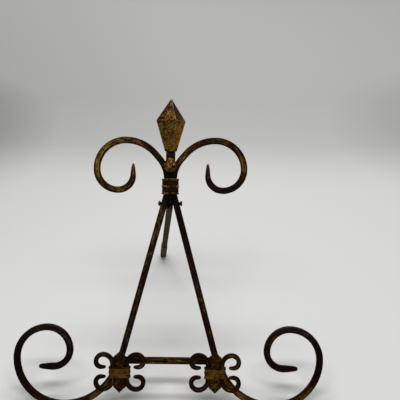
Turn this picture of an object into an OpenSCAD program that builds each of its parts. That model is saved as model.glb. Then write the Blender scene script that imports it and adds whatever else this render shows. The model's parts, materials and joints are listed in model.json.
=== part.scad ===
// Table-top display easel in forged square bar: two scrolled front legs, a crossbar, a pair of lily
// ornaments that hold the displayed piece on ledge pegs, a spear finial and a hinged back leg.
//
// The front of the easel is drawn flat: X across, Y up the slope from the feet, Z towards the viewer.
// frame_place() then leans it back over the table. A path is a list of pieces of bar. Each piece is
// [0, length] for a straight run or [radius, turn] for an arc, and a positive turn is clockwise.
// A pose on a path is [x, y, heading], with the heading in degrees clockwise from +Y.

/* [Frame] */
// Side of the square bar of the legs and the crossbar
bar = 6.35; // [5.35:0.25:7.1]
// Angle of the front frame from the vertical
lean = 35; // [28:1:38]
// Room between the two legs where the collar holds them
neck_gap = 0.2; // [0.1:0.05:0.4]
// Straight length of each leg inside the collar
neck_len = 10.6; // [9:0.2:12]
// Radius of the bend below the collar
neck_bend_r = 30; // [24:1:34]
// Angle of each leg from the centre line
leg_splay = 15; // [13:0.5:17]
// Straight length of each leg
leg_run = 155; // [140:1:170]
// Radius of the slow bend behind the ornament
knee_r = 120; // [110:1:140]
// Turn of the slow bend behind the ornament
knee_turn = 14; // [13:0.5:17]

/* [Foot scrolls] */
// Radius from the knee down to the floor
foot_r = 56; // [50:0.5:62]
// Radius from the floor up to the outermost point
foot_outer_r = 46; // [43:0.5:50]
// Radius from the outermost point to the top
foot_top_r = 30; // [28:0.5:32]
// Radius from the top to the innermost point
foot_inner_r = 22.5; // [21:0.5:24]
// Radius of the last turn
foot_eye_r = 16.5; // [15:0.5:17]
// Length of the straight tip of a foot scroll
foot_tip = 14; // [10:0.5:16]
// Length over which the end of a foot scroll is drawn out
foot_draw = 12; // [8:0.5:20]
// Width across the end of a foot scroll
foot_tip_w = 3; // [1.2:0.1:4]

/* [Upper scrolls] */
// Radius of the flare above the collar
flare_r = 31; // [28:0.5:34]
// Turn of the flare above the collar
flare_turn = 41; // [37:0.5:45]
// Straight run between the flare and the scroll
flare_run = 6.5; // [4:0.5:9]
// Radius up to the top of the scroll
scroll_rise_r = 39; // [35:0.5:43]
// Radius from the top to the outermost point
scroll_outer_r = 28.5; // [26:0.5:31]
// Radius from the outermost point to the bottom
scroll_lower_r = 21; // [19:0.5:23]
// Radius of the last turn
scroll_eye_r = 15; // [13:0.5:17]
// Length of the straight tip of an upper scroll
scroll_tip = 11; // [8:0.5:14]
// Length over which the end of an upper scroll is drawn out
scroll_draw = 20; // [12:0.5:30]
// Width across the end of an upper scroll
scroll_tip_w = 1.4; // [1:0.1:4]

/* [Crossbar] */
// Height of the crossbar's centre above the middle of the ornaments
cross_rise = 6.5; // [4:0.5:9]
// Room left for the weld where bars meet
weld_gap = 0.05; // [0.02:0.01:0.1]

/* [Collar] */
// Height of the ribbed collar
collar_h = 15.4; // [14:0.2:17]
// Distance from the top of the collar to the start of the flare
collar_drop = 0.5; // [0:0.1:1]
// Metal of the collar between its ribs
collar_wall = 1.2; // [1:0.1:1.6]
// Room between the collar and the legs
collar_fit = 0.08; // [0.05:0.01:0.15]
// How far the ribs of the collar and the bands stand out
rib_proud = 0.4; // [0.2:0.1:0.7]
// Height of a rib
rib_h = 1.6; // [1.2:0.1:2.2]
// Corner radius of the collar and the bands
band_corner = 1; // [0.6:0.1:1.2]

/* [Finial] */
// Width across the finial's corners
finial_w = 31.2; // [28:0.2:34]
// Width across the corners of the finial's foot
finial_base_w = 12.6; // [11.6:0.1:14]
// Turn of the finial about its own axis
finial_turn = 21.5; // [0:0.5:45]
// Height from the corners to the point
finial_top_h = 22.6; // [19:0.2:25]
// Height from the foot of the finial to its corners
finial_low_h = 30.5; // [27:0.5:34]
// Width of the stem in the fork of the legs
stem_w = 9; // [8:0.1:9.6]
// Length of the stem
stem_len = 10.7; // [9:0.1:13]

/* [Collar leaf] */
// Radius of the round part of the leaf
leaf_boss_r = 5.8; // [5:0.1:6.5]
// Height of the leaf's point above the middle of the round part
leaf_boss_tip = 10.4; // [9:0.1:12]
// Height of the leaf's middle above the start of the flare
leaf_boss_h = 12.6; // [11:0.2:14]
// Thickness of the leaf at its middle
leaf_boss_d = 4; // [3:0.1:5]
// Radius of the leaf's domed front
leaf_boss_dome_r = 14; // [13:0.5:18]

/* [Ornaments] */
// Distance of each ornament's middle from the centre line
orn_x = 46; // [45:0.5:47]
// Height of each ornament's middle up the slope
orn_h = 40.5; // [40:0.5:43]
// Clear depth of the ledge between the legs and the ornaments
ledge_gap = 16; // [12:0.5:24]
// Side of a ledge peg
peg = 6; // [5:0.25:6.5]
// Side of the square bar of the C-scrolls
orn_bar = 4.4; // [4:0.1:4.8]
// Half width of the leaf where the band holds it
leaf_waist = 4.6; // [4.2:0.1:5]
// Half width of the leaf at its shoulders
leaf_shoulder = 6.2; // [5.8:0.1:6.6]
// Height of the shoulders from the middle of the leaf
leaf_shoulder_h = 14.2; // [13.2:0.1:15.4]
// Height of the points from the middle of the leaf
leaf_point_h = 19.8; // [18.5:0.1:21]
// Height of the leaf's front edges above the middle of its thickness
leaf_rim = 0.6; // [0:0.1:1.6]
// Room between the leaf and the C-scrolls
leaf_room = 0.1; // [0.05:0.05:0.3]
// Straight half length of a C-scroll's back
curl_back = 7.5; // [7:0.1:8.3]
// Radius of a C-scroll's first turn
curl_rise_r = 9.2; // [8.6:0.1:10]
// Radius of a C-scroll's second turn
curl_outer_r = 6.8; // [6.3:0.1:7.2]
// Radius of a C-scroll's last turn
curl_eye_r = 5.3; // [5:0.1:5.6]
// Length of a C-scroll's straight tip
curl_tip = 4; // [3.2:0.1:4.8]
// Length over which the end of a C-scroll is drawn out
curl_draw = 8; // [6:0.5:14]
// Width across the end of a C-scroll
curl_tip_w = 2.2; // [1.6:0.1:2.8]
// Height of an ornament's band
band_h = 10.5; // [9.5:0.1:11.5]
// Metal of a band between its ribs
band_wall = 0.9; // [0.7:0.1:1.1]

/* [Hinge] */
// Distance from the collar's lower edge to the hinge pin
pin_drop = 9.1; // [8.5:0.1:10]
// Diameter of the hinge pin
pin_d = 3; // [2.5:0.1:3.2]
// Radial clearance round the hinge pin
pin_fit = 0.06; // [0.03:0.01:0.1]
// Diameter of the pin's round head
pin_head_d = 6; // [5:0.1:6.4]
// Thickness of the pin's round head
pin_head_h = 2.2; // [1.8:0.1:2.8]
// Diameter of the cap on the pin's other end
pin_cap_d = 4.8; // [4.4:0.1:5.4]
// Thickness of the cap on the pin's other end
pin_cap_h = 2; // [1.8:0.1:2.6]

/* [Back leg] */
// Angle between the front frame and the open back leg
open_angle = 71.5; // [62:0.5:74]
// Sideways set of the back leg from the centre plane
back_set = 4.5; // [0:0.5:5.5]
// Side of the square bar of the back leg
back_bar = 6; // [5:0.25:6]
// Thickness of the flattened tongue on the pin
tongue_t = 2.6; // [2.2:0.1:2.6]
// Radius of the eye at the end of the tongue
eye_r = 3; // [2.7:0.1:3.1]
// Length of the tongue from the pin to the full bar
tongue_len = 6; // [5.5:0.1:8]
// Height of the heel that stops the open leg on the backs of the front legs
heel_h = 3; // [2:0.1:4]
// Length of the heel along the leg
heel_len = 14; // [10:0.5:18]
// Room between the heel and the backs of the front legs
heel_fit = 0.05; // [0.02:0.01:0.1]
// Length of the sleeve on the foot of the back leg
sleeve_len = 40; // [30:1:50]
// Radius of the sleeve's round end, as a share of its width
foot_round = 0.75; // [0.73:0.01:0.85]
// Wall of the sleeve
sleeve_wall = 0.5; // [0.4:0.05:0.8]
// Room between the sleeve and the bar inside it
sleeve_fit = 0.02; // [0.01:0.01:0.05]

/* [Hidden] */
$fn = 96;

neck_x = (bar + neck_gap) / 2;
half = bar / 2;
open_tilt = open_angle - lean;

// A quarter of a turn, clockwise
quarter = 90;

// Paths of one front leg, from the collar down to the foot and from the collar up to the scroll
bend_path = [[neck_bend_r, -leg_splay]];
knee_path = concat(bend_path, [[0, leg_run]]);
floor_path = concat(knee_path, [[knee_r, -knee_turn], [foot_r, knee_turn + leg_splay - quarter]]);
foot_radii = [foot_outer_r, foot_top_r, foot_inner_r, foot_eye_r];
foot_path = concat(floor_path, [for (r = foot_radii) [r, -quarter]]);
flare_path = [[flare_r, flare_turn], [0, flare_run], [scroll_rise_r, quarter - flare_turn]];
scroll_path = concat(flare_path, [for (r = [scroll_outer_r, scroll_lower_r, scroll_eye_r]) [r, quarter]]);
curl_path = [for (r = [curl_rise_r, curl_outer_r, curl_eye_r]) [r, quarter]];

// How far the flats of a bend may lie inside its true curve, and the flats along a straight tip
bend_flat = 0.02;
tip_steps = 6;

// The lowest point of the path's middle line lies half a bar above the slope's zero
bend_y = half - pose_at([neck_x, 0, 180], floor_path).y;
flare_y = bend_y + neck_len;
down_start = [neck_x, bend_y, 180];
up_start = [neck_x, flare_y, 0];

// Middle of the slow bend, and where the leg's middle line and inner face lie at a height
knee_pose = pose_at(down_start, knee_path);
knee_mid = [knee_pose.x - knee_r * cos(knee_pose.z), knee_pose.y + knee_r * sin(knee_pose.z)];
function knee_x(y) = knee_mid.x - sqrt(pow(knee_r, 2) - pow(y - knee_mid.y, 2));

collar_top = flare_y + collar_drop;
collar_low = collar_top - collar_h;
bend_in_collar = asin((bend_y - collar_low) / neck_bend_r);
bend_out = neck_bend_r * (1 - cos(bend_in_collar)) + half / cos(bend_in_collar);
collar_in_w = 2 * (neck_x + bend_out + collar_fit);
collar_in_d = bar + 2 * collar_fit;

// The stem stands where the fork of the legs is as wide as the stem
fork_r = flare_r + half + weld_gap;
stem_low = flare_y + sqrt(pow(fork_r, 2) - pow(neck_x + flare_r - stem_w / 2, 2));
finial_low = stem_low + stem_len;

// Height of the crossbar's centre up the slope
cross_h = orn_h + cross_rise;

// Flats round the foot of the collar leaf
leaf_boss_steps = 24;

// Depth of the ornaments in front of the legs
orn_z = half + ledge_gap + orn_bar / 2;
spine_x = leaf_waist + leaf_room + orn_bar / 2;
band_in_w = 2 * spine_x + orn_bar + 2 * weld_gap;
band_in_d = orn_bar + 2 * weld_gap;
band_d = band_in_d + 2 * (band_wall + rib_proud);
peg_x = knee_x(orn_h);
peg_len = orn_z - band_d / 2 - half;

// Hinge pin, and the faces of the legs beside it
pin_y = collar_low - pin_drop;
pin_leg_x = leg_x_below_bend(pin_y);
pin_seat_x = leg_x_below_bend(pin_y - pin_head_d / 2) + half / cos(leg_splay) + weld_gap;
function leg_x_below_bend(y) =
    let (top = pose_at(down_start, bend_path)) top.x + (top.y - y) * tan(leg_splay);

// Back leg, measured from the pin to the middle of its round foot
sleeve_w = back_bar + 2 * (sleeve_fit + sleeve_wall);
foot_ball_r = foot_round * sleeve_w;
lift = half * sin(lean);
pin_height = pin_y * cos(lean) + lift;
back_len = (pin_height - foot_ball_r) / (cos(open_tilt) * cos(back_set));

// Distance along the back leg at which the heel's face, so far behind its middle, meets the front legs
function heel_start(depth) = (half + heel_fit - depth * cos(open_angle)) / sin(open_angle);

// The origin lies on the table, under the middle of the easel's depth
front_y = min(
    (orn_h - leaf_point_h) * sin(lean) - (orn_z + orn_bar / 2) * cos(lean),
    -half * cos(lean));
rear_y = pin_y * sin(lean) + (pin_height - foot_ball_r) * tan(open_tilt) + foot_ball_r;
origin_y = (front_y + rear_y) / 2;

iron = "#33281d";
bronze = "#5a4429";
gilt = "#8d7136";

// Pose at the end of one piece of a path
function after(p, piece) =
    piece[0] == 0
    ? [p.x + piece[1] * sin(p.z), p.y + piece[1] * cos(p.z), p.z]
    : let (way = sign(piece[1]), end = p.z + piece[1])
      [p.x + way * piece[0] * (cos(p.z) - cos(end)), p.y - way * piece[0] * (sin(p.z) - sin(end)), end];

// Pose at the end of a path
function pose_at(p, path, i = 0) = i == len(path) ? p : pose_at(after(p, path[i]), path, i + 1);

// Length of a path from its piece i on
function length_from(path, i) =
    i == len(path)
    ? 0
    : length_from(path, i + 1) + (path[i][0] == 0 ? path[i][1] : path[i][0] * abs(path[i][1]) * PI / 180);

// One piece of a path, with an arc cut into short arcs of the same radius
function short_pieces(piece, side) =
    piece[0] == 0
    ? [piece]
    : let (count = ceil(abs(piece[1]) / (2 * acos(1 - bend_flat / (piece[0] + side / 2)))))
      [for (i = [1 : count]) [piece[0], piece[1] / count]];

// Points out along the left edge of a scroll and back along its right edge. A scroll is
// [start pose, path, length of its straight tip, width across its end, length over which it is drawn out].
function scroll_edge(side, scroll) =
    let (
        tip = [for (i = [1 : tip_steps]) [0, scroll[2] / tip_steps]],
        path = concat([for (piece = scroll[1]) each short_pieces(piece, side)], tip),
        last = len(path),
        line = [for (i = 0, p = scroll[0]; i <= last; p = i < last ? after(p, path[i]) : p, i = i + 1) p],
        width = [for (i = [0 : last]) drawn_width(side, scroll[3], length_from(path, i) / scroll[4])]
    )
    [for (way = [-1, 1], k = [0 : last])
        let (i = way < 0 ? k : last - k, p = line[i], off = way * width[i] / 2)
        [p.x + off * cos(p.z), p.y - off * sin(p.z)]];

// Width of a drawn-out end, at a share of its length from the tip
function drawn_width(side, tip_w, share) = tip_w + (side - tip_w) * sqrt(min(1, share));

// A path with its arcs turned the other way
function other_way(path) = [for (piece = path) [piece[0], piece[0] == 0 ? piece[1] : -piece[1]]];

// Leans the flat drawing back and stands it on the table
module frame_place() {
    translate([0, -origin_y, lift]) rotate([90 - lean, 0, 0]) children();
}

// Square bar with a scroll at each end, cut from one outline and thinned front and back at its tips
module scrolled_bar(side, top, low) {
    difference() {
        linear_extrude(height = side, center = true)
            polygon(concat(scroll_edge(side, top), scroll_edge(side, low)));
        for (scroll = [top, low], face = [0, 1]) mirror([0, 0, face]) tip_cut(side, scroll);
    }
}

// Wedge that thins the front of a scroll's straight tip to the width of its end
module tip_cut(side, scroll) {
    p = pose_at(scroll[0], scroll[1]);
    end = scroll[2];
    past = 2 * end;
    wedge = [[0, side / 2], [end, scroll[3] / 2], [past, scroll[3] / 2], [past, side], [0, side]];
    translate([p.x, p.y, 0]) rotate([0, 0, -p.z]) rotate([90, 0, 90])
        linear_extrude(height = 2 * side, center = true) polygon(wedge);
}

module rounded_box(w, d, h, r) {
    linear_extrude(height = h, center = true) {
        square([w - 2 * r, d], center = true);
        square([w, d - 2 * r], center = true);
        for (x = [-1, 1], y = [-1, 1])
            translate([x * (w / 2 - r), y * (d / 2 - r)]) circle(r);
    }
}

// Band with a rib along each edge and one round its middle, about the Y axis
module ribbed_band(in_w, in_d, h, wall) {
    rib_out = wall + rib_proud;
    rotate([-90, 0, 0]) difference() {
        union() {
            rounded_box(in_w + 2 * wall, in_d + 2 * wall, h, band_corner);
            for (z = [-1 : 1]) translate([0, 0, z * (h - rib_h) / 2])
                rounded_box(in_w + 2 * rib_out, in_d + 2 * rib_out, rib_h, band_corner);
        }
        cube([in_w, in_d, 2 * h], center = true);
    }
}

// Front leg on the +X side
module leg() {
    difference() {
        scrolled_bar(
            bar,
            [up_start, scroll_path, scroll_tip, scroll_tip_w, scroll_draw],
            [down_start, foot_path, foot_tip, foot_tip_w, foot_draw]);
        translate([pin_leg_x, pin_y, 0]) rotate([0, 90, 0])
            cylinder(d = pin_d + 2 * pin_fit, h = 3 * bar, center = true);
    }
}

module left_leg() {
    color(iron) frame_place() mirror([1, 0, 0]) leg();
}

module right_leg() {
    color(iron) frame_place() leg();
}

module crossbar() {
    color(bronze) frame_place() difference() {
        translate([0, cross_h, 0]) cube([2 * knee_mid.x, bar, bar], center = true);
        for (side = [-1, 1]) translate([side * knee_mid.x, knee_mid.y, 0])
            cylinder(r = knee_r + half + weld_gap, h = 2 * bar, center = true);
    }
}

module top_collar() {
    color(gilt) frame_place() translate([0, collar_low + collar_h / 2, 0])
        ribbed_band(collar_in_w, collar_in_d, collar_h, collar_wall);
}

// Spear point with four ridges, turned so that one ridge looks past the viewer
module finial() {
    corners = [for (i = [0 : 3]) finial_turn + i * quarter];
    function ring(w, y) = [for (a = corners) [w / 2 * sin(a), y, w / 2 * cos(a)]];
    point = [0, finial_low_h + finial_top_h, 0];
    points = concat(ring(finial_base_w, 0), ring(finial_w, finial_low_h), [point]);
    sides = [for (i = [0 : 3]) let (n = (i + 1) % 4) [[i + 4, n + 4, n, i], [8, n + 4, i + 4]]];
    faces = concat([[0, 1, 2, 3]], [for (pair = sides) each pair]);
    color(gilt) frame_place() translate([0, finial_low, 0]) polyhedron(points, faces);
}

module finial_stem() {
    color(iron) frame_place() translate([-stem_w / 2, stem_low, -half]) cube([stem_w, stem_len, bar]);
}

// Leaf with a round foot, a point and a domed front
module collar_leaf() {
    touch = asin(leaf_boss_r / leaf_boss_tip);
    step = (180 + 2 * touch) / leaf_boss_steps;
    foot = [for (i = [0 : leaf_boss_steps]) leaf_boss_r * [cos(touch - i * step), sin(touch - i * step)]];
    color(gilt) frame_place() translate([0, flare_y + leaf_boss_h, half]) intersection() {
        linear_extrude(height = leaf_boss_d) polygon(concat([[0, leaf_boss_tip]], foot));
        translate([0, 0, leaf_boss_d - leaf_boss_dome_r]) sphere(leaf_boss_dome_r);
    }
}

// Pin along X with a domed head on its left end
module hinge_pin() {
    dome_r = (pow(pin_head_d / 2, 2) + pow(pin_head_h, 2)) / (2 * pin_head_h);
    color(gilt) frame_place() translate([0, pin_y, 0]) {
        translate([-pin_seat_x - pin_head_h / 2, 0, 0]) rotate([0, 90, 0])
            cylinder(d = pin_d, h = 2 * pin_seat_x + pin_head_h / 2 + pin_cap_h);
        translate([-pin_seat_x, 0, 0]) rotate([0, -90, 0]) intersection() {
            translate([0, 0, pin_head_h - dome_r]) sphere(dome_r);
            cylinder(d = pin_head_d, h = pin_head_h);
        }
    }
}

module hinge_pin_cap() {
    color(iron) frame_place() translate([pin_seat_x, pin_y, 0]) rotate([0, 90, 0]) difference() {
        cylinder(d = pin_cap_d, h = pin_cap_h);
        translate([0, 0, -pin_cap_h]) cylinder(d = pin_d + 2 * weld_gap, h = 3 * pin_cap_h);
    }
}

// Puts a piece drawn along -Y below the pin, with its back towards -Z, in the open leg's place
module back_place() {
    frame_place() translate([0, pin_y, 0]) rotate([open_angle, 0, 0]) children();
}

// Shank of the back leg from the end of its tongue, set over to one side
module shank(from, to, side) {
    rotate([0, 0, -back_set]) translate([-side / 2, -to, -side / 2]) cube([side, to - from, side]);
}

module back_leg() {
    heel = [
        [heel_start(back_bar / 2), -back_bar / 2],
        [heel_start(back_bar / 2 + heel_h), -back_bar / 2 - heel_h],
        [heel_len, -back_bar / 2],
    ];
    color(iron) back_place() difference() {
        union() {
            rotate([0, 90, 0]) cylinder(r = eye_r, h = tongue_t, center = true);
            translate([-tongue_t / 2, -tongue_len - half, -back_bar / 2])
                cube([tongue_t, tongue_len + half, back_bar]);
            shank(tongue_len, back_len, back_bar);
            rotate([90, 0, -90]) linear_extrude(height = back_bar, center = true) polygon(heel);
        }
        rotate([0, 90, 0]) cylinder(d = pin_d + 2 * pin_fit, h = 2 * back_bar, center = true);
    }
}

module foot_sleeve() {
    color("#4b4a3c") back_place() difference() {
        union() {
            shank(back_len - sleeve_len, back_len, sleeve_w);
            intersection() {
                shank(back_len, back_len + sleeve_w, sleeve_w);
                rotate([0, 0, -back_set]) translate([0, -back_len, 0]) sphere(foot_ball_r);
            }
        }
        shank(0, back_len + sleeve_fit, back_bar + 2 * sleeve_fit);
    }
}

// Puts a piece of an ornament on its side of the easel
module orn_place(side) {
    frame_place() translate([side * orn_x, orn_h, orn_z]) children();
}

// Leaf with two points and a ridge down the middle of its front, cut clear of the C-scrolls beside it
module leaf() {
    outline = [
        [leaf_waist, curl_back], [leaf_shoulder, leaf_shoulder_h], [0, leaf_point_h],
        [-leaf_shoulder, leaf_shoulder_h], [-leaf_waist, curl_back],
        [-leaf_waist, -curl_back], [-leaf_shoulder, -leaf_shoulder_h], [0, -leaf_point_h],
        [leaf_shoulder, -leaf_shoulder_h], [leaf_waist, -curl_back],
    ];
    roof = [
        [-leaf_shoulder, -orn_bar / 2], [leaf_shoulder, -orn_bar / 2],
        [leaf_shoulder, leaf_rim], [0, orn_bar / 2], [-leaf_shoulder, leaf_rim],
    ];
    difference() {
        intersection() {
            linear_extrude(height = orn_bar, center = true) polygon(outline);
            rotate([90, 0, 0]) linear_extrude(height = 2 * leaf_point_h, center = true) polygon(roof);
        }
        for (x = [-1, 1], y = [-1, 1])
            translate([x * (spine_x + curl_rise_r), y * curl_back, 0])
                cylinder(r = curl_rise_r + orn_bar / 2 + leaf_room / 2, h = 2 * orn_bar, center = true);
    }
}

// C-scroll on the +X side of an ornament
module c_scroll() {
    scrolled_bar(
        orn_bar,
        [[spine_x, curl_back, 0], curl_path, curl_tip, curl_tip_w, curl_draw],
        [[spine_x, -curl_back, 180], other_way(curl_path), curl_tip, curl_tip_w, curl_draw]);
}

module left_leaf() {
    color(bronze) orn_place(-1) leaf();
}

module right_leaf() {
    color(bronze) orn_place(1) leaf();
}

module left_inner_scroll() {
    color(iron) orn_place(-1) c_scroll();
}

module left_outer_scroll() {
    color(iron) orn_place(-1) mirror([1, 0, 0]) c_scroll();
}

module right_inner_scroll() {
    color(iron) orn_place(1) mirror([1, 0, 0]) c_scroll();
}

module right_outer_scroll() {
    color(iron) orn_place(1) c_scroll();
}

module left_band() {
    color(gilt) orn_place(-1) ribbed_band(band_in_w, band_in_d, band_h, band_wall);
}

module right_band() {
    color(gilt) orn_place(1) ribbed_band(band_in_w, band_in_d, band_h, band_wall);
}

module ledge_peg(side) {
    color(iron) frame_place() translate([side * peg_x - peg / 2, orn_h - peg / 2, half])
        cube([peg, peg, peg_len]);
}

left_leg();
right_leg();
crossbar();
top_collar();
finial();
finial_stem();
collar_leaf();
hinge_pin();
hinge_pin_cap();
back_leg();
foot_sleeve();
ledge_peg(-1);  // left_ledge_peg
ledge_peg(1);  // right_ledge_peg
left_leaf();
left_inner_scroll();
left_outer_scroll();
left_band();
right_leaf();
right_inner_scroll();
right_outer_scroll();
right_band();
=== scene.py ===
"""Finish for a table-top display easel: rubbed bronze bar, gilt bands, weld metal and a plain studio."""

import json
from math import radians

import bmesh
import bpy
from bpy.props import FloatProperty, FloatVectorProperty, IntProperty, PointerProperty
from mathutils import Matrix, Vector, kdtree, noise


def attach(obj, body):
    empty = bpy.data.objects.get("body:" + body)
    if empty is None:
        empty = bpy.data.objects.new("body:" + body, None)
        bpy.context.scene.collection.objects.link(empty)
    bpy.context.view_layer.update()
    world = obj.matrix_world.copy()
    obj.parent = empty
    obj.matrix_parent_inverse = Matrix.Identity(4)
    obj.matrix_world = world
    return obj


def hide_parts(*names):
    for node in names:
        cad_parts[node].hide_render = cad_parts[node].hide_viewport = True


bl_info = {
    "name": "Display Easel Finish",
    "version": (1, 0, 0),
    "blender": (4, 5, 0),
    "location": "View3D > Sidebar > Easel",
    "description": "Dresses a scrolled display easel and sets it in a plain studio",
    "category": "Object",
}

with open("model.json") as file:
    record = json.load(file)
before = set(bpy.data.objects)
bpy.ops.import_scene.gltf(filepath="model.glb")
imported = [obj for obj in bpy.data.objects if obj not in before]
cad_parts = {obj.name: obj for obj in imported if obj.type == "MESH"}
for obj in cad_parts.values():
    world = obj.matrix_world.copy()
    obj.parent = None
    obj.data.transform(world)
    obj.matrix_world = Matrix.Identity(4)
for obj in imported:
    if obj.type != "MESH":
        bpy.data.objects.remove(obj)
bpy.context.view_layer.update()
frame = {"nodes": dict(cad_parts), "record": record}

# Directions of the leaning front: across, up the slope and out towards the viewer
RECORD = frame["record"]
ACROSS = Vector((1.0, 0.0, 0.0))
SLOPE = Vector(next(m["axis"] for m in RECORD["mounts"] if m["name"] == "ledge_left")).normalized()
OUT = ACROSS.cross(SLOPE)
HINGE = Vector(RECORD["behaviour"]["joints"][0]["pos_m"])
NODE_BODY = {node: body for body, nodes in RECORD["behaviour"]["bodies"].items() for node in nodes}

# Corners that merge, faces that are flat, edges that are sharp, and the cosine of lines that run alike
MM = 0.001
MERGE_DISTANCE = 1e-6
FLAT_ANGLE = radians(0.5)
CREASE_ANGLE = radians(25)
IN_LINE = 0.99

# Material index of the faces that rounding makes, the mix node's colour sockets, and mesh attributes
ROUNDED = 1
MIX_A = 6
MIX_B = 7
MIX_RESULT = 2
EDGE_LAYER = "edge_rub"
FACET_LAYER = "facet_rub"
RUN_LAYER = "bar_run"

CURLS = ("left_inner_scroll", "left_outer_scroll", "right_inner_scroll", "right_outer_scroll")
LEAVES = ("left_leaf", "right_leaf")
BANDS = ("left_band", "right_band")

# Full depth of the bars and the welds, reach of the pin's hole, and swell of the leaves to the C-scrolls
LEG_BAR = 6.35 * MM
CURL_BAR = 4.4 * MM
WELD_DEPTH = 4.6 * MM
PIN_REACH = 2.5 * MM
LEAF_SWELL = 1.025

# Right halves of the welds that fill the fork under the collar and the crotch above it, in millimetres
# across and up from the hinge pin
WELDS = {
    "fork_weld": [(0.0, 9.6), (1.3, 9.6), (3.0, 2.2), (2.4, 2.68), (1.6, 3.22), (0.8, 3.51), (0.0, 3.6)],
    "crotch_weld": [
        (0.0, 22.0), (0.4, 22.0), (0.4, 25.0), (0.7, 28.6), (1.4, 32.4), (2.4, 35.6), (3.0, 37.4),
        (2.2, 38.6), (0.0, 39.2)],
}

# Bud at the foot of the stem: middle up from the hinge pin, sizes, and the pitch and size of its lumps
BUD_MIDDLE = 36.4 * MM
BUD_WIDTH = 6.3 * MM
BUD_DROP = 5.9 * MM
BUD_RISE = 9.6 * MM
BUD_DEPTH = 4.6 * MM
BUD_SEAT = 3.2 * MM
BUD_TAPER = 0.3
BUD_LUMPS = ((2.4, 0.16), (5.5, 0.08))

# Gold added on the ribs, the top rib and the corners of a band, and how these are told apart
BAND_RUB = (-0.02, -0.34, -0.25)
COLLAR_RUB = (0.26, 0.26, 0.26)
RIB_SKIN = 0.05 * MM
TOP_RIB = 2.0 * MM
CORNER_TURN = 0.2

# Painted light and shade on the finial's front facets: gold added by whether a facet looks up and whether
# it looks left
FINIAL_FACET_LIGHT = {(True, True): 0.08, (True, False): -0.21, (False, True): 0.05, (False, False): 0.18}

# Painted shade on the shank of the hinge pin, where it lies between the legs: gold added on the shank,
# whose faces hardly turn towards its ends
SHANK_SHADE = -0.7
SHANK_TURN = 0.05

# Gold on the legs: levels by height, and what the far side of the upper scroll adds to them
LEFT_STOPS = (
    (0.0, 0.52), (0.022, 0.52), (0.034, 0.30), (0.065, 0.31), (0.11, 0.32), (0.150, 0.38), (0.165, 0.38),
    (0.176, 0.29), (0.190, 0.20), (0.200, 0.24), (0.212, 0.28), (0.225, 0.20), (0.26, 0.20))
RIGHT_STOPS = (
    (0.0, 0.62), (0.022, 0.62), (0.034, 0.30), (0.065, 0.28), (0.11, 0.25), (0.145, 0.06), (0.160, 0.04),
    (0.172, 0.14), (0.186, 0.26), (0.200, 0.44), (0.212, 0.42), (0.225, 0.38), (0.26, 0.38))
LEFT_REACH = 0.27
RIGHT_REACH = -0.08
SCROLL_ACROSS = (10 * MM, 45 * MM)
SCROLL_HEIGHT = (0.160, 0.180)

# Places with less gold or with painted shade, or with a sheen: across and up from the hinge pin, the
# distance up to which the change is whole, the distance at which it is gone, and the change
# Painted shade: the neck round the collar lies in the bud's shade, over dark paint
COLLAR_SHADE = (0.0, 18 * MM, 13 * MM, 22 * MM, 0.45)
# Painted shade: the hinge pin and the top of the back leg lie in shade between the front legs
HINGE_SHADE = (0.0, 0.0, 5 * MM, 11 * MM, 0.9)
LEFT_FOOT = (-140 * MM, -183 * MM, 25 * MM, 80 * MM, 0.32)
RIGHT_FOOT = (140 * MM, -183 * MM, 25 * MM, 80 * MM, 0.28)
# Dark weld and a painted shadow of the C-scroll in front, at each end of the crossbar
LEFT_JOIN_WELD_AND_SHADOW = (-38 * MM, -156 * MM, 8 * MM, 13 * MM, 0.25)
RIGHT_JOIN_WELD_AND_SHADOW = (38 * MM, -156 * MM, 8 * MM, 13 * MM, 0.25)
LEFT_SIDE = (-80 * MM, -163 * MM, 26 * MM, 32 * MM, 0.26)
LEFT_CURL = (-38 * MM, -150 * MM, 24.4 * MM, 27 * MM, 0.2)
RIGHT_CURL = (38 * MM, -150 * MM, 24.4 * MM, 27 * MM, 0.2)
LEFT_SHEEN = (-126 * MM, -116 * MM, 12 * MM, 36 * MM, 0.13)
RIGHT_SHEEN = (121 * MM, -116 * MM, 12 * MM, 36 * MM, 0.16)
FINIAL_SHEEN = (8 * MM, 93 * MM, 12 * MM, 17 * MM, 0.17)

# Scales of the noise in the paint, and of its streaks along, across and through a piece
PATCH_SCALE = 42.0
BLOTCH_SCALE = 160.0
SPECK_SCALE = 1000.0
BRONZE_SCALE = 64.0
RUST_SCALE = 52.0
OLIVE_SCALE = 85.0
EVEN_GRAIN = (480.0, 480.0, 480.0)
BAR_GRAIN = (70.0, 620.0, 620.0)
BAND_GRAIN = (130.0, 420.0, 420.0)

# Softness of the rub's outline, painted shade on the rounded edges of bent bars, file marks and reflected
# tints
RUB_BLUR = 0.16
EDGE_SHADE = -0.22
MARK_TURNS = (radians(40), radians(-50))
MARK_SCALE = 130.0
MARK_BREAKS = 90.0
GOLD_TINT = (0.55, 0.38, 0.20)
PROP_TINT = (0.50, 0.46, 0.46)

# Floor: painted shade by distance to the back, and spots of painted shade by middle, near and far
# distance, and drop in tone
PAPER_SHADE_STOPS = (
    (0.0, 0.945), (0.28, 0.945), (0.32, 0.905), (0.40, 0.745), (0.44, 0.725), (0.56, 0.73), (1.04, 1.0))
PAPER_SHADE_SPOTS = (
    ((-0.46, 0.41, 0.0), 0.13, 0.26, 0.22),
    ((-0.70, 0.55, 0.0), 0.35, 0.75, 0.13),
    ((0.48, 0.45, 0.0), 0.11, 0.24, 0.12))

# Lamps and the camera's frame
STRIP_SIZE = (1.0, 0.16)
STRIP_PLACES = {"strip_back": (0.0, 0.28, 1.3), "strip_front": (0.0, -0.38, 1.3)}
SENSOR_SIZE = 36.0


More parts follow.
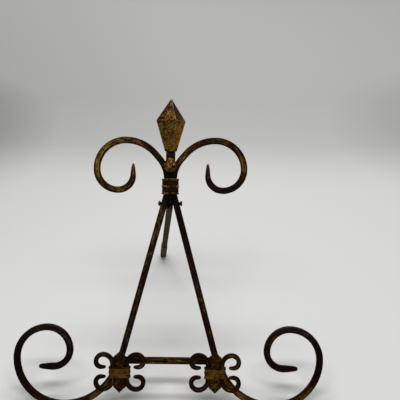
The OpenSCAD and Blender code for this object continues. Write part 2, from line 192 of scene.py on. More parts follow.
class EaselPaint(bpy.types.PropertyGroup):
    """Colours of the paint."""

    # Iron also carries the painted shade round the collar and the hinge
    iron: FloatVectorProperty(
        name="Iron", description="Darkest paint, in the hollows", subtype="COLOR", size=3,
        default=(0.0044, 0.0038, 0.0032), min=0, max=1)
    bronze: FloatVectorProperty(
        name="Bronze", description="Brown paint over the bars", subtype="COLOR", size=3,
        default=(0.0255, 0.0122, 0.0056), min=0, max=1)
    rust: FloatVectorProperty(
        name="Rust", description="Red-brown patches in the paint", subtype="COLOR", size=3,
        default=(0.0255, 0.0076, 0.0048), min=0, max=1)
    gold: FloatVectorProperty(
        name="Gold", description="Gold rubbed over the paint", subtype="COLOR", size=3,
        default=(0.165, 0.082, 0.0135), min=0, max=1)
    olive: FloatVectorProperty(
        name="Olive", description="Dull olive patches in the gold", subtype="COLOR", size=3,
        default=(0.098, 0.062, 0.0145), min=0, max=1)
    pale: FloatVectorProperty(
        name="Pale", description="Bright specks where the gold is thickest", subtype="COLOR", size=3,
        default=(0.31, 0.19, 0.052), min=0, max=1)
    prop: FloatVectorProperty(
        name="Prop", description="Grey-green paint on the back leg", subtype="COLOR", size=3,
        default=(0.032, 0.036, 0.022), min=0, max=1)
    sleeve: FloatVectorProperty(
        name="Sleeve", description="Dipped sleeve on the back leg", subtype="COLOR", size=3,
        default=(0.061, 0.056, 0.028), min=0, max=1)


class EaselEdges(bpy.types.PropertyGroup):
    """Sizes of the softened edges."""

    bar: FloatProperty(
        name="Bar", description="Rounding on the edges of the bars",
        default=1.2 * MM, min=0.2 * MM, max=2.0 * MM, unit="LENGTH", precision=5)
    curl: FloatProperty(
        name="Curl", description="Rounding on the edges of the C-scrolls",
        default=0.9 * MM, min=0.2 * MM, max=1.4 * MM, unit="LENGTH", precision=5)
    leaf: FloatProperty(
        name="Leaf", description="Rounding on the edges of the leaves",
        default=0.5 * MM, min=0.1 * MM, max=1.0 * MM, unit="LENGTH", precision=5)
    band: FloatProperty(
        name="Band", description="Rounding on the edges of the bands and the pin",
        default=0.25 * MM, min=0.05 * MM, max=0.5 * MM, unit="LENGTH", precision=5)
    finial: FloatProperty(
        name="Finial", description="Rounding on the ridges of the finial",
        default=0.5 * MM, min=0.1 * MM, max=1.0 * MM, unit="LENGTH", precision=5)
    steps: IntProperty(
        name="Steps", description="Faces across a softened edge", default=4, min=1, max=8)


class EaselStage(bpy.types.PropertyGroup):
    """The studio and the camera."""

    floor: FloatVectorProperty(
        name="Floor", description="Colour of the floor", subtype="COLOR", size=3,
        default=(0.742, 0.742, 0.726), min=0, max=1)
    floor_size: FloatProperty(
        name="Floor size", description="Side of the floor", default=8.0, min=2.0, max=20.0, unit="LENGTH")
    backdrop: FloatVectorProperty(
        name="Backdrop", description="Colour behind the floor", subtype="COLOR", size=3,
        default=(0.46, 0.46, 0.45), min=0, max=1)
    sky: FloatProperty(
        name="Sky", description="Strength of the light from all round", default=0.30, min=0, max=1)
    strip_back: FloatProperty(
        name="Strip at back", description="Power of the lamp above the back leg",
        default=7.4, min=0, max=100, unit="POWER")
    strip_front: FloatProperty(
        name="Strip in front", description="Power of the lamp above the front",
        default=7.4, min=0, max=100, unit="POWER")
    aim: FloatVectorProperty(
        name="Aim", size=2, default=(29.6 * MM, 3.8 * MM), unit="LENGTH",
        description="Point that the camera looks at, across and up the slope from the hinge pin")
    distance: FloatProperty(
        name="Distance", description="From the camera to that point", default=0.706, min=0.2, max=5,
        unit="LENGTH")
    roll: FloatProperty(
        name="Roll", description="Turn of the camera about its own axis", default=radians(0.66),
        min=radians(-10), max=radians(10), unit="ROTATION")
    lens: FloatProperty(
        name="Lens", description="Focal length on a square 36 mm frame", default=63.9, min=20, max=200,
        unit="CAMERA")


def on_frame(across, up, out=0.0):
    """Point of the leaning front, measured from the hinge pin."""
    return HINGE + across * ACROSS + up * SLOPE + out * OUT


def merged_copy(node):
    """A copy of a node's shape with its triangles joined into flat faces."""
    shape = bmesh.new()
    shape.from_mesh(frame["nodes"][node].data)
    bmesh.ops.remove_doubles(shape, verts=shape.verts, dist=MERGE_DISTANCE)
    bmesh.ops.dissolve_limit(
        shape, angle_limit=FLAT_ANGLE, use_dissolve_boundaries=False, verts=shape.verts, edges=shape.edges)
    return shape


def direction(edge):
    """Unit vector along an edge."""
    return (edge.verts[1].co - edge.verts[0].co).normalized()


def bar_depth(vert, full):
    """Depth of a bar from front to back at a corner, up to its full depth."""
    depths = [e.calc_length() for e in vert.link_edges if abs(direction(e).dot(OUT)) > IN_LINE]
    return min([full, *depths])


def in_pin_hole(edge):
    """Whether an edge belongs to the hole for the hinge pin."""
    return all((v.co - HINGE).cross(ACROSS).length < PIN_REACH for v in edge.verts)


def mark_edges(shape, full=None, along=None):
    """Marks how far each sharp edge is rounded. A thin end is rounded less than a bar of full depth."""
    weight = shape.edges.layers.float.new("bevel_weight_edge")
    for edge in shape.edges:
        if not edge.is_manifold or edge.calc_face_angle(0.0) < CREASE_ANGLE:
            continue
        if full and in_pin_hole(edge):
            continue
        if along and abs(direction(edge).dot(along)) < IN_LINE:
            continue
        edge[weight] = min(bar_depth(v, full) / full for v in edge.verts) if full else 1.0


def rounded_mesh(name, shape, width, steps, clamp):
    """A mesh with the marked edges rounded, and an attribute on the faces that this makes."""
    rough = bpy.data.meshes.new(name)
    shape.to_mesh(rough)
    shape.free()
    for _ in range(ROUNDED + 1):
        rough.materials.append(None)
    holder = bpy.data.objects.new(name, rough)
    bpy.context.scene.collection.objects.link(holder)
    bevel = holder.modifiers.new("rounding", "BEVEL")
    bevel.limit_method = "WEIGHT"
    bevel.width = width
    bevel.segments = steps
    bevel.profile = 0.5
    bevel.material = ROUNDED
    bevel.use_clamp_overlap = clamp
    graph = bpy.context.evaluated_depsgraph_get()
    mesh = bpy.data.meshes.new_from_object(holder.evaluated_get(graph))
    bpy.data.objects.remove(holder)
    bpy.data.meshes.remove(rough)
    rubbed = mesh.attributes.new(EDGE_LAYER, "FLOAT", "FACE")
    for face in mesh.polygons:
        rubbed.data[face.index].value = face.material_index
        face.material_index = 0
        face.use_smooth = True
    mesh.materials.clear()
    mesh.name = name
    return mesh


def add_piece(name, mesh, material, body):
    """A finished piece from a mesh, riding on its body."""
    piece = bpy.data.objects.new(name, mesh)
    bpy.context.scene.collection.objects.link(piece)
    mesh.materials.append(material)
    normals = piece.modifiers.new("flat_faces", "WEIGHTED_NORMAL")
    normals.keep_sharp = True
    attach(piece, body)
    return piece


def dress(node, width, material, full=None, along=None, shape=None):
    """A piece that stands for a node, with its edges softened."""
    shape = shape or merged_copy(node)
    mark_edges(shape, full, along)
    steps = bpy.context.scene.easel_edges.steps
    mesh = rounded_mesh(node + "_dressed", shape, width, steps, clamp=full is None)
    piece = add_piece(node + "_dressed", mesh, material, NODE_BODY[node])
    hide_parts(node)
    return piece


def bar_line(shape):
    """Points down the middle of a bar's front, with the length up to each and the way the bar runs."""
    fronts = [face for face in shape.faces if face.normal.dot(OUT) > IN_LINE]
    front = max(fronts, key=lambda face: face.calc_area())
    corners = [vert.co.copy() for vert in front.verts]
    sides = [after - before for before, after in zip(corners, corners[1:] + corners[:1])]
    bends = [sides[k - 1].angle(side) for k, side in enumerate(sides)]
    first = max(range(len(bends)), key=lambda k: bends[k - 1] + bends[k])
    ring = corners[first:] + corners[:first]
    middle = [(left + right) / 2 for left, right in zip(ring[:len(ring) // 2], reversed(ring))]
    line = []
    length = 0.0
    for start, end in zip(middle, middle[1:]):
        reach = (end - start).length
        along = (end - start).normalized()
        count = max(1, round(reach / MM))
        for k in range(count):
            line.append((start.lerp(end, k / count), length + reach * k / count, along))
        length += reach
    return line


def mark_run(mesh, line):
    """Writes the place of each corner along the bar, across it and through it."""
    nearest = kdtree.KDTree(len(line))
    for index, (point, _, _) in enumerate(line):
        nearest.insert(point, index)
    nearest.balance()
    run = mesh.attributes.new(RUN_LAYER, "FLOAT_VECTOR", "POINT")
    for vert in mesh.vertices:
        point, length, along = line[nearest.find(vert.co)[1]]
        off = vert.co - point
        run.data[vert.index].vector = (length + off.dot(along), off.dot(OUT.cross(along)), off.dot(OUT))


def dress_bar(node, width, material, full):
    """A bent bar in the place of its node, with softened edges and a grain that follows its bends."""
    shape = merged_copy(node)
    line = bar_line(shape)
    mark_run(dress(node, width, material, full=full, shape=shape).data, line)


def new_group(name, inputs, outputs):
    """An empty shader node group, with the names of its sockets by their kind."""
    group = bpy.data.node_groups.new(name, "ShaderNodeTree")
    for way, sockets in (("INPUT", inputs), ("OUTPUT", outputs)):
        for kind, names in sockets.items():
            for socket in names:
                group.interface.new_socket(socket, in_out=way, socket_type=kind)
    return group, group.nodes.new("NodeGroupInput"), group.nodes.new("NodeGroupOutput")


def add_node(tree, kind, **values):
    """A shader node with some of its settings."""
    node = tree.nodes.new(kind)
    for key, value in values.items():
        setattr(node, key, value)
    return node


def plug(tree, socket, value):
    """Links a socket to another one, or gives it a value."""
    if isinstance(value, bpy.types.NodeSocket):
        tree.links.new(value, socket)
    elif socket.type == "RGBA":
        socket.default_value = (*value[:3], 1.0)
    else:
        socket.default_value = value


def feed(tree, node, **values):
    """Fills the named inputs of a node. Underscores in a name stand for spaces."""
    for key, value in values.items():
        plug(tree, node.inputs[key.replace("_", " ")], value)
    return node


def ramp(tree, value, low, high, to_low=0.0, to_high=1.0):
    """A value moved from one range to another, and kept inside it."""
    node = add_node(tree, "ShaderNodeMapRange", clamp=True)
    feed(tree, node, Value=value, From_Min=low, From_Max=high, To_Min=to_low, To_Max=to_high)
    return node.outputs["Result"]


def smooth_step(tree, value, low, high):
    """A soft step from 0 to 1 between two values."""
    node = add_node(tree, "ShaderNodeMapRange", interpolation_type="SMOOTHSTEP")
    feed(tree, node, Value=value, From_Min=low, From_Max=high)
    return node.outputs["Result"]


def mottle(tree, vector, scale, detail=3.0, distortion=0.0):
    """Noise stretched to the whole range from 0 to 1."""
    node = add_node(tree, "ShaderNodeTexNoise")
    feed(tree, node, Vector=vector, Scale=scale, Detail=detail, Roughness=0.6, Distortion=distortion)
    return ramp(tree, node.outputs["Fac"], 0.3, 0.7)


def calc(tree, operation, a, b, clamp=False):
    """One step of arithmetic on values."""
    node = add_node(tree, "ShaderNodeMath", operation=operation, use_clamp=clamp)
    plug(tree, node.inputs[0], a)
    plug(tree, node.inputs[1], b)
    return node.outputs["Value"]


def total(tree, *parts):
    """Sum of values, each with its share."""
    result = None
    for value, share in parts:
        part = calc(tree, "MULTIPLY", value, share)
        result = part if result is None else calc(tree, "ADD", result, part)
    return result


def blend_colour(tree, share, a, b):
    """A colour between two colours."""
    node = add_node(tree, "ShaderNodeMix", data_type="RGBA")
    plug(tree, node.inputs[0], share)
    plug(tree, node.inputs[MIX_A], a)
    plug(tree, node.inputs[MIX_B], b)
    return node.outputs[MIX_RESULT]


def rub_group():
    """Gold rubbed by hand over mottled dark paint."""
    found = bpy.data.node_groups.get("hand_rub")
    if found:
        return found
    vector, value, colour = "NodeSocketVector", "NodeSocketFloat", "NodeSocketColor"
    inputs = {
        vector: ("Vector", "Grain"),
        value: ("Level", "Patch", "Marks", "Rust Share", "Olive Share"),
        colour: ("Iron", "Bronze", "Rust", "Gold", "Olive", "Pale"),
    }
    outputs = {colour: ("Color",), value: ("Roughness", "Metallic", "Height")}
    group, given, result = new_group("hand_rub", inputs, outputs)
    ins = given.outputs
    place = ins["Vector"]
    patch = mottle(group, place, PATCH_SCALE, 2.0, 0.5)
    blotch = mottle(group, place, BLOTCH_SCALE, 3.0)
    streak = mottle(group, ins["Grain"], 1.0, 3.0, 0.8)
    speck = mottle(group, place, SPECK_SCALE, 2.0)
    uneven = calc(group, "MULTIPLY", calc(group, "SUBTRACT", patch, 0.5), ins["Patch"])
    rubbed = calc(group, "ADD", uneven, total(group, (blotch, 0.22), (streak, 0.54), (speck, 0.24)))
    threshold = calc(group, "SUBTRACT", 1.0, ins["Level"])
    low = calc(group, "SUBTRACT", threshold, RUB_BLUR)
    high = calc(group, "ADD", threshold, RUB_BLUR)
    share = calc(group, "ADD", smooth_step(group, rubbed, low, high), ins["Marks"], clamp=True)
    # Low levels, such as the painted shade round the collar and the hinge, turn the paint towards iron
    warm = ramp(group, ins["Level"], -0.2, 0.3)
    brown = total(group, (mottle(group, place, BRONZE_SCALE, 4.0), 0.6), (streak, 0.4))
    paint = blend_colour(group, calc(group, "MULTIPLY", brown, warm), ins["Iron"], ins["Bronze"])
    reddish = calc(group, "MULTIPLY", mottle(group, place, RUST_SCALE, 2.0), ins["Rust Share"])
    paint = blend_colour(group, calc(group, "MULTIPLY", reddish, warm), paint, ins["Rust"])
    dull = calc(group, "MULTIPLY", mottle(group, place, OLIVE_SCALE, 3.0), ins["Olive Share"])
    powder = blend_colour(group, dull, ins["Gold"], ins["Olive"])
    thick = smooth_step(group, rubbed, calc(group, "SUBTRACT", high, 0.06), calc(group, "ADD", high, 0.14))
    bright = calc(group, "MAXIMUM", thick, calc(group, "MULTIPLY", ins["Marks"], 0.6))
    powder = blend_colour(group, bright, powder, ins["Pale"])
    group.links.new(blend_colour(group, share, paint, powder), result.inputs["Color"])
    uneven_gloss = calc(group, "MULTIPLY", blotch, 0.10)
    gloss = calc(group, "ADD", ramp(group, share, 0.0, 1.0, 0.50, 0.42), uneven_gloss)
    group.links.new(gloss, result.inputs["Roughness"])
    group.links.new(ramp(group, share, 0.0, 1.0, 0.8, 0.95), result.inputs["Metallic"])
    height = total(group, (blotch, 0.5), (streak, 0.3), (speck, 0.2))
    group.links.new(height, result.inputs["Height"])
    return group


def file_marks(tree, place):
    """Two families of fine scratches that cross each other."""
    lines = []
    for turn in MARK_TURNS:
        turned = add_node(tree, "ShaderNodeMapping")
        feed(tree, turned, Vector=place, Rotation=(0.0, turn, 0.0))
        wave = add_node(tree, "ShaderNodeTexWave", wave_type="BANDS", bands_direction="X")
        feed(tree, wave, Vector=turned.outputs["Vector"], Scale=MARK_SCALE)
        feed(tree, wave, Distortion=0.8, Detail=2.0, Detail_Scale=2.0)
        lines.append(ramp(tree, wave.outputs["Fac"], 0.6, 0.95))
    broken = ramp(tree, mottle(tree, place, MARK_BREAKS, 3.0), 0.35, 0.75)
    return calc(tree, "MULTIPLY", calc(tree, "MAXIMUM", *lines), broken)


def curve_through(tree, value, stops):
    """A curve that takes a value through stops, each a place and a level."""
    top = stops[-1][0]
    curve = add_node(tree, "ShaderNodeValToRGB")
    curve.color_ramp.elements.remove(curve.color_ramp.elements[0])
    for index, (place, level) in enumerate(stops):
        stop = curve.color_ramp.elements[0] if index == 0 else curve.color_ramp.elements.new(place / top)
        stop.position = place / top
        stop.color = (level, level, level, 1.0)
    feed(tree, curve, Fac=calc(tree, "DIVIDE", value, top))
    return curve.outputs["Color"]


def climb(tree, place, stops, reach_gain):
    """Level of the rub on a leg: stops by height, and more gold on the far side of the scroll."""
    parts = add_node(tree, "ShaderNodeSeparateXYZ")
    feed(tree, parts, Vector=place)
    across = add_node(tree, "ShaderNodeMath", operation="ABSOLUTE")
    plug(tree, across.inputs[0], parts.outputs["X"])
    far = ramp(tree, across.outputs["Value"], *SCROLL_ACROSS)
    high = ramp(tree, parts.outputs["Z"], *SCROLL_HEIGHT)
    reach = calc(tree, "MULTIPLY", calc(tree, "MULTIPLY", far, high), reach_gain)
    return calc(tree, "ADD", curve_through(tree, parts.outputs["Z"], stops), reach)


def drop_round(tree, place, centre, near, far, drop):
    """A drop round a point, whole up to the near distance and gone at the far one."""
    away = add_node(tree, "ShaderNodeVectorMath", operation="DISTANCE")
    plug(tree, away.inputs[0], place)
    plug(tree, away.inputs[1], centre)
    return ramp(tree, away.outputs["Value"], near, far, -drop, 0.0)


def front_drop(tree, place, across, up, near, far, drop):
    """A drop round a point of the front, so far across and up from the hinge pin."""
    return drop_round(tree, place, on_frame(across, up), near, far, drop)


def new_material(name, specular):
    """A material with its node tree and its shader, and how much the shader reflects."""
    material = bpy.data.materials.new(name)
    material.use_nodes = True
    shader = material.node_tree.nodes["Principled BSDF"]
    shader.inputs["Specular IOR Level"].default_value = specular
    return material, material.node_tree, shader


def rubbed_paint(
        name, level=0.0, edge=0.0, patch=0.3, rust=0.4, olive=0.5, marks=0.0, facets=False, stops=None,
        reach=0.0, darker_spots=(), sheen=None, grain=EVEN_GRAIN, follow=False,
        powder=("gold", "olive", "pale"), tint=GOLD_TINT):
    """Dark paint rubbed with gold. A higher level shows more of it; rounded edges add edge to it, as more
    gold or, where negative, as painted shade.
    """
    paint = bpy.context.scene.easel_paint
    material, tree, shader = new_material(name, 0.05)
    shader.inputs["Specular Tint"].default_value = (*tint, 1.0)
    shader.inputs["Coat Roughness"].default_value = 0.35
    place = add_node(tree, "ShaderNodeTexCoord").outputs["Object"]
    if sheen:
        feed(tree, shader, Coat_Weight=calc(tree, "MULTIPLY", front_drop(tree, place, *sheen), -1.0))
    if stops:
        level = climb(tree, place, stops, reach)
    # Darker spots: painted shade round the collar and the hinge, dark weld and painted shadow at the
    # joins, less gold elsewhere
    for spot in darker_spots:
        level = calc(tree, "ADD", front_drop(tree, place, *spot), level)
    # Facet gold: more or less gold on ribs, painted light and shade on the finial's facets, painted shade
    # on the pin's shank
    if facets:
        facet = add_node(tree, "ShaderNodeAttribute", attribute_name=FACET_LAYER).outputs["Fac"]
        level = calc(tree, "ADD", facet, level)
    # Rounded edges: more gold, or where edge is negative, painted shade
    rounded = add_node(tree, "ShaderNodeAttribute", attribute_name=EDGE_LAYER).outputs["Fac"]
    level = calc(tree, "ADD", calc(tree, "MULTIPLY", rounded, edge), level)
    rub = add_node(tree, "ShaderNodeGroup", node_tree=rub_group())
    run = place
    if follow:
        run = add_node(tree, "ShaderNodeAttribute", attribute_name=RUN_LAYER).outputs["Vector"]
    stretched = add_node(tree, "ShaderNodeVectorMath", operation="MULTIPLY")
    plug(tree, stretched.inputs[0], run)
    plug(tree, stretched.inputs[1], grain)
    feed(tree, rub, Vector=place, Grain=stretched.outputs["Vector"])
    feed(tree, rub, Level=level, Patch=patch, Rust_Share=rust, Olive_Share=olive)
    feed(tree, rub, Iron=paint.iron, Bronze=paint.bronze, Rust=paint.rust)
    for socket, colour in zip(("Gold", "Olive", "Pale"), powder):
        plug(tree, rub.inputs[socket], getattr(paint, colour))
    if marks:
        feed(tree, rub, Marks=calc(tree, "MULTIPLY", file_marks(tree, place), marks))
    bump = add_node(tree, "ShaderNodeBump")
    feed(tree, bump, Strength=0.4, Distance=0.35 * MM, Height=rub.outputs["Height"])
    feed(
        tree, shader, Base_Color=rub.outputs["Color"], Roughness=rub.outputs["Roughness"],
        Metallic=rub.outputs["Metallic"], Normal=bump.outputs["Normal"])
    return material


def sleeve_vinyl(name):
    """Matt dipped coating with a faint orange peel."""
    colour = tuple(bpy.context.scene.easel_paint.sleeve)
    material, tree, shader = new_material(name, 0.06)
    place = add_node(tree, "ShaderNodeTexCoord").outputs["Object"]
    tone = mottle(tree, place, 120.0, 4.0)
    darker = tuple(channel * 0.7 for channel in colour)
    bump = add_node(tree, "ShaderNodeBump")
    feed(tree, bump, Strength=0.2, Distance=0.2 * MM, Height=mottle(tree, place, 700.0, 2.0))
    feed(
        tree, shader, Base_Color=blend_colour(tree, tone, darker, colour),
        Roughness=ramp(tree, tone, 0.0, 1.0, 0.75, 0.6), Normal=bump.outputs["Normal"])
    return material


def curl_paint(name, level, *darker_spots):
    """Rubbed paint on a C-scroll, with painted shade on its rounded edges."""
    return rubbed_paint(name, level, edge=EDGE_SHADE, darker_spots=darker_spots, grain=BAR_GRAIN, follow=True)


def leg_paint(name, stops, reach, foot, sheen):
    """Rubbed paint on a front leg, with painted shade on its rounded edges and round the collar, and less
    gold on the foot.
    """
    return rubbed_paint(
        name, edge=EDGE_SHADE, stops=stops, reach=reach, darker_spots=(COLLAR_SHADE, foot), sheen=sheen,
        grain=BAR_GRAIN, follow=True)


FINISHES = {
    "left_leg_rub": lambda name: leg_paint(name, LEFT_STOPS, LEFT_REACH, LEFT_FOOT, LEFT_SHEEN),
    "right_leg_rub": lambda name: leg_paint(name, RIGHT_STOPS, RIGHT_REACH, RIGHT_FOOT, RIGHT_SHEEN),
    "crossbar_rub": lambda name: rubbed_paint(
        name, 0.42, edge=-0.1, patch=0.1, olive=0.3, darker_spots=(LEFT_JOIN_WELD_AND_SHADOW, RIGHT_JOIN_WELD_AND_SHADOW), grain=BAR_GRAIN),
    "iron_rub": lambda name: rubbed_paint(name, 0.05),
    "stem_rub": lambda name: rubbed_paint(name, -0.05, rust=0.9),
    "weld_black": lambda name: rubbed_paint(name, -0.12),
    "left_outer_scroll_rub": lambda name: curl_paint(name, 0.31, LEFT_SIDE),
    "left_inner_scroll_rub": lambda name: curl_paint(name, 0.26, LEFT_CURL),
    "right_inner_scroll_rub": lambda name: curl_paint(name, 0.26, RIGHT_CURL),
    "right_outer_scroll_rub": lambda name: curl_paint(name, 0.33),
    "left_leaf_rub": lambda name: rubbed_paint(name, 0.26, rust=0.9),
    "right_leaf_rub": lambda name: rubbed_paint(name, 0.40, rust=0.8),
    "band_gilt": lambda name: rubbed_paint(
        name, 0.56, edge=-0.1, patch=0.2, rust=0.8, olive=0.4, facets=True, grain=BAND_GRAIN,
        powder=("gold", "olive", "gold")),
    "collar_gilt": lambda name: rubbed_paint(name, 0.20, edge=0.2, olive=0.4, facets=True),
    "finial_gilt": lambda name: rubbed_paint(
        name, 0.40, edge=0.15, patch=0.35, rust=0.8, olive=0.45, marks=1.0, facets=True,
        sheen=FINIAL_SHEEN),
    "bud_gilt": lambda name: rubbed_paint(name, 0.50, patch=0.1, olive=0.7),
    "pin_gilt": lambda name: rubbed_paint(name, 0.50, patch=0.1, olive=0.7, facets=True),
    "prop_rub": lambda name: rubbed_paint(
        name, 0.80, edge=-0.1, rust=0.2, darker_spots=(HINGE_SHADE,), powder=("prop", "prop", "sleeve"),
        tint=PROP_TINT),
    "sleeve_coat": sleeve_vinyl,
}


def finish(name):
    """One of the easel's finishes, made when it is first asked for."""
    return bpy.data.materials.get(name) or FINISHES[name](name)


def weld_shape(outline):
    """Weld metal between the legs, from the right half of its outline."""
    other_half = [(-across, up) for across, up in reversed(outline) if across]
    back = -WELD_DEPTH / 2
    shape = bmesh.new()
    corners = [shape.verts.new(on_frame(x * MM, up * MM, back)) for x, up in outline + other_half]
    grown = bmesh.ops.extrude_face_region(shape, geom=[shape.faces.new(corners)])
    moved = [item for item in grown["geom"] if isinstance(item, bmesh.types.BMVert)]
    bmesh.ops.translate(shape, verts=moved, vec=WELD_DEPTH * OUT)
    bmesh.ops.recalc_face_normals(shape, faces=shape.faces)
    return shape


class EASEL_OT_bars(bpy.types.Operator):
    """Dress the front legs, the crossbar, the stem and the ledge pegs, and add the welds"""

    bl_idname = "easel.bars"
    bl_label = "Bars"

    def execute(self, context):
        edges = context.scene.easel_edges
        for side in ("left", "right"):
            dress_bar(side + "_leg", edges.bar, finish(side + "_leg_rub"), full=LEG_BAR)
            dress(side + "_ledge_peg", edges.bar, finish("iron_rub"), along=OUT)
        dress("crossbar", edges.bar, finish("crossbar_rub"), along=ACROSS)
        dress("finial_stem", edges.bar, finish("stem_rub"), along=SLOPE)
        for name, outline in WELDS.items():
            shape = weld_shape(outline)
            mark_edges(shape)
            mesh = rounded_mesh(name, shape, edges.band, edges.steps, clamp=True)
            add_piece(name, mesh, finish("weld_black"), "frame")
        return {"FINISHED"}


def ribbed_copy(node, rib, top_rib, corner):
    """A copy of a band with its ribs, its top rib and its corners marked for more gold, or for less."""
    shape = merged_copy(node)
    proud = max((vert.co - HINGE).dot(OUT) for vert in shape.verts) - RIB_SKIN
    head = max((vert.co - HINGE).dot(SLOPE) for vert in shape.verts) - TOP_RIB
    layer = shape.faces.layers.float.new(FACET_LAYER)
    for face in shape.faces:
        middle = face.calc_center_median() - HINGE
        if min(abs(face.normal.dot(OUT)), abs(face.normal.dot(ACROSS))) > CORNER_TURN:
            face[layer] = corner
        elif middle.dot(SLOPE) > head:
            face[layer] = top_rib
        elif middle.dot(OUT) > proud:
            face[layer] = rib
    return shape


def pressed_copy(node):
    """A copy of a leaf that is a little wider, so that it touches the C-scrolls beside it."""
    shape = merged_copy(node)
    places = [vert.co.x for vert in shape.verts]
    middle = (min(places) + max(places)) / 2
    about = Matrix.Translation((-middle, 0.0, 0.0))
    bmesh.ops.scale(shape, vec=(LEAF_SWELL, 1.0, 1.0), space=about, verts=shape.verts)
    return shape


class EASEL_OT_ornaments(bpy.types.Operator):
    """Dress the C-scrolls, leaves and bands"""

    bl_idname = "easel.ornaments"
    bl_label = "Ornaments"

    def execute(self, context):
        edges = context.scene.easel_edges
        for node in CURLS:
            dress_bar(node, edges.curl, finish(node + "_rub"), full=CURL_BAR)
        for node in LEAVES:
            dress(node, edges.leaf, finish(node + "_rub"), shape=pressed_copy(node))
        for node in BANDS:
            dress(node, edges.band, finish("band_gilt"), shape=ribbed_copy(node, *BAND_RUB))
        collar = ribbed_copy("top_collar", *COLLAR_RUB)
        dress("top_collar", edges.band, finish("collar_gilt"), shape=collar)
        return {"FINISHED"}


def facet_rub(normal):
    """Painted light and shade on a facet of the finial: more or less gold by the way it looks."""
    if normal.dot(OUT) < 0:
        return 0.0
    return FINIAL_FACET_LIGHT[normal.dot(SLOPE) > 0, normal.dot(ACROSS) < 0]


def bud_shape():
    """A lumpy leaf bud with a flat back, laid over the foot of the stem."""
    shape = bmesh.new()
    bmesh.ops.create_uvsphere(shape, u_segments=48, v_segments=32, radius=1.0)
    for vert in shape.verts:
        across, out, up = vert.co
        girth = Vector((across, out)).length
        taper = girth ** BUD_TAPER if up > 0 and girth > 0 else 1.0
        lump = 1.0
        for pitch, size in BUD_LUMPS:
            lump += size * noise.noise(vert.co * pitch)
        height = up * (BUD_RISE if up > 0 else BUD_DROP)
        front = max(out, 0.0) * BUD_DEPTH * taper * lump
        vert.co = on_frame(across * BUD_WIDTH * taper * lump, BUD_MIDDLE + height, BUD_SEAT + front)
    bmesh.ops.remove_doubles(shape, verts=shape.verts, dist=MERGE_DISTANCE)
    bmesh.ops.recalc_face_normals(shape, faces=shape.faces)
    return shape


class EASEL_OT_finial(bpy.types.Operator):
    """Dress the finial and shape the bud at its foot"""

    bl_idname = "easel.finial"
    bl_label = "Finial"

    def execute(self, context):
        edges = context.scene.easel_edges
        shape = merged_copy("finial")
        layer = shape.faces.layers.float.new(FACET_LAYER)
        for face in shape.faces:
            face[layer] = facet_rub(face.normal)
        dress("finial", edges.finial, finish("finial_gilt"), shape=shape)
        dress("collar_leaf", edges.band, finish("bud_gilt"), shape=bud_shape())
        return {"FINISHED"}


def pin_shape():
    """A copy of the hinge pin with painted shade, and so no gold, on its shank."""
    shape = merged_copy("hinge_pin")
    layer = shape.faces.layers.float.new(FACET_LAYER)
    for face in shape.faces:
        face[layer] = SHANK_SHADE if abs(face.normal.dot(ACROSS)) < SHANK_TURN else 0.0
    return shape


class EASEL_OT_hinge(bpy.types.Operator):
    """Dress the hinge pin, its cap, the back leg and its sleeve"""

    bl_idname = "easel.hinge"
    bl_label = "Hinge and back leg"

    def execute(self, context):
        edges = context.scene.easel_edges
        dress("hinge_pin", edges.band, finish("pin_gilt"), shape=pin_shape())
        dress("hinge_pin_cap", edges.band, finish("iron_rub"))
        dress("back_leg", edges.leaf, finish("prop_rub"))
        dress("foot_sleeve", edges.band, finish("sleeve_coat"))
        return {"FINISHED"}


def add_strip(name, place, power):
    """A long lamp across the studio that looks at the foot of the easel."""
    lamp = bpy.data.lights.new(name, "AREA")
    lamp.shape = "RECTANGLE"
    lamp.size, lamp.size_y = STRIP_SIZE
    lamp.energy = power
    holder = bpy.data.objects.new(name, lamp)
    holder.location = place
    view = Vector((0.0, place[1] / 2, 0.0)) - Vector(place)
    holder.rotation_euler = view.to_track_quat("-Z", "Y").to_euler()
    bpy.context.scene.collection.objects.link(holder)


def paper_shade(tree):
    """Share of the floor's colour that is left: painted shade, darker towards the back and in spots at its
    sides.
    """
    place = add_node(tree, "ShaderNodeTexCoord").outputs["Object"]
    parts = add_node(tree, "ShaderNodeSeparateXYZ")
    feed(tree, parts, Vector=place)
    tone = curve_through(tree, parts.outputs["Y"], PAPER_SHADE_STOPS)
    for centre, near, far, drop in PAPER_SHADE_SPOTS:
        tone = calc(tree, "ADD", tone, drop_round(tree, place, centre, near, far, drop))
    return tone


def add_floor(stage):
    """A wide pale floor with painted shade towards the back."""
    shape = bmesh.new()
    bmesh.ops.create_grid(shape, x_segments=1, y_segments=1, size=stage.floor_size / 2)
    mesh = bpy.data.meshes.new("floor")
    shape.to_mesh(mesh)
    shape.free()
    floor = bpy.data.objects.new("floor", mesh)
    bpy.context.scene.collection.objects.link(floor)
    paper, tree, shader = new_material("floor_paper", 0.2)
    feed(tree, shader, Base_Color=blend_colour(tree, paper_shade(tree), (0.0, 0.0, 0.0), stage.floor))
    shader.inputs["Roughness"].default_value = 0.9
    mesh.materials.append(paper)


def studio_world(stage):
    """Even light from all round, behind it a pale backdrop that only the camera sees."""
    world = bpy.data.worlds.new("studio")
    world.use_nodes = True
    tree = world.node_tree
    light = tree.nodes["Background"]
    feed(tree, light, Color=(1.0, 1.0, 1.0), Strength=stage.sky)
    backdrop = feed(tree, add_node(tree, "ShaderNodeBackground"), Color=stage.backdrop)
    seen = add_node(tree, "ShaderNodeMixShader")
    plug(tree, seen.inputs[0], add_node(tree, "ShaderNodeLightPath").outputs["Is Camera Ray"])
    plug(tree, seen.inputs[1], light.outputs["Background"])
    plug(tree, seen.inputs[2], backdrop.outputs["Background"])
    plug(tree, tree.nodes["World Output"].inputs["Surface"], seen.outputs["Shader"])
    return world


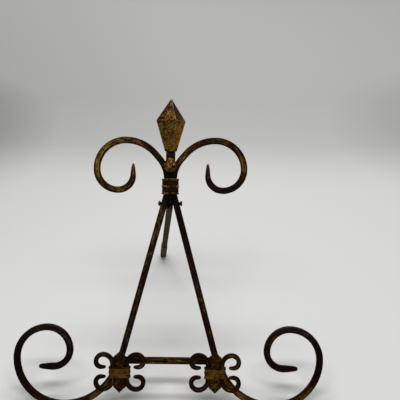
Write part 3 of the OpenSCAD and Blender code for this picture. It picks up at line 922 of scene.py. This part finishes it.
def add_camera(stage):
    """A camera that looks straight at the leaning front."""
    camera = bpy.data.cameras.new("camera")
    camera.lens = stage.lens
    camera.sensor_width = SENSOR_SIZE
    camera.sensor_fit = "HORIZONTAL"
    camera.dof.use_dof = False
    eye = bpy.data.objects.new("camera", camera)
    level = Matrix((ACROSS, SLOPE, OUT)).transposed()
    roll = Matrix.Rotation(stage.roll, 3, "Z")
    place = on_frame(*stage.aim, stage.distance)
    eye.matrix_world = Matrix.Translation(place) @ (level @ roll).to_4x4()
    bpy.context.scene.collection.objects.link(eye)
    bpy.context.scene.camera = eye


class EASEL_OT_stage(bpy.types.Operator):
    """Set the floor, the lamps and the camera"""

    bl_idname = "easel.stage"
    bl_label = "Stage"

    def execute(self, context):
        stage = context.scene.easel_stage
        context.scene.view_settings.view_transform = "Standard"
        add_floor(stage)
        context.scene.world = studio_world(stage)
        for name, place in STRIP_PLACES.items():
            add_strip(name, place, getattr(stage, name))
        add_camera(stage)
        return {"FINISHED"}


class EASEL_PT_panel(bpy.types.Panel):
    """Sizes, colours and steps of the easel's finish"""

    bl_idname = "EASEL_PT_panel"
    bl_label = "Display Easel"
    bl_space_type = "VIEW_3D"
    bl_region_type = "UI"
    bl_category = "Easel"

    def draw(self, context):
        for name, group in GROUPS.items():
            box = self.layout.box()
            for key in group.__annotations__:
                box.prop(getattr(context.scene, name), key)
        for step in STEPS:
            self.layout.operator(step.bl_idname)


STEPS = (EASEL_OT_bars, EASEL_OT_ornaments, EASEL_OT_finial, EASEL_OT_hinge, EASEL_OT_stage)
GROUPS = {"easel_paint": EaselPaint, "easel_edges": EaselEdges, "easel_stage": EaselStage}
CLASSES = (*GROUPS.values(), *STEPS, EASEL_PT_panel)


def register():
    """Registers the classes and gives the scene its settings."""
    for item in CLASSES:
        bpy.utils.register_class(item)
    for name, group in GROUPS.items():
        setattr(bpy.types.Scene, name, PointerProperty(type=group))


def unregister():
    """Takes the settings and the classes away again."""
    for name in GROUPS:
        delattr(bpy.types.Scene, name)
    for item in reversed(CLASSES):
        bpy.utils.unregister_class(item)


def main():
    """Dresses the easel and sets the stage."""
    register()
    bpy.ops.easel.bars()
    bpy.ops.easel.ornaments()
    bpy.ops.easel.finial()
    bpy.ops.easel.hinge()
    bpy.ops.easel.stage()


if __name__ == "__main__":
    main()
